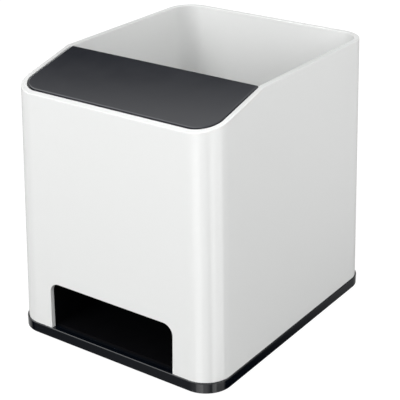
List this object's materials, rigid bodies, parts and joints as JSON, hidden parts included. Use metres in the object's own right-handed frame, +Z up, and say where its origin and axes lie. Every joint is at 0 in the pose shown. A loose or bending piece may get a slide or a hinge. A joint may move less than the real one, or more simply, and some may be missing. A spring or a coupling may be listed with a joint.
{
  "type": "pen holder with phone slot",
  "caption": "Tapered white desk pen holder with a sloping dark front panel, an upright phone slot behind it, a sound duct that opens at the lower front and a black base on rubber feet.",
  "frame": {"origin": "on the table, under the middle of the base's footprint", "axes": "+Z up; the sloping panel and the sound outlet face -Y; +X is to the right of somebody who looks at the front from behind it, along +Y"},
  "size_m": [0.09, 0.108, 0.102],
  "materials": {
    "white_gloss": "white moulded plastic, high gloss",
    "charcoal_satin": "charcoal moulded plastic, satin",
    "black_gloss": "black moulded plastic, gloss",
    "black_satin": "black moulded plastic, satin",
    "rubber": "dark soft rubber, matte",
    "zinc_steel": "bright zinc-plated steel"
  },
  "bodies": {
    "root": {"outer_shell": "white_gloss", "top_panel": "charcoal_satin", "phone_cradle": "black_satin", "rest_pad_left": "rubber", "rest_pad_right": "rubber", "duct_floor": "black_satin", "duct_roof": "black_satin", "base_tray": "black_gloss", "foot_front_left": "rubber", "foot_front_right": "rubber", "foot_rear_left": "rubber", "foot_rear_right": "rubber", "screw_front_left": "zinc_steel", "screw_front_right": "zinc_steel", "screw_rear_left": "zinc_steel", "screw_rear_right": "zinc_steel"}
  },
  "joints": []
}
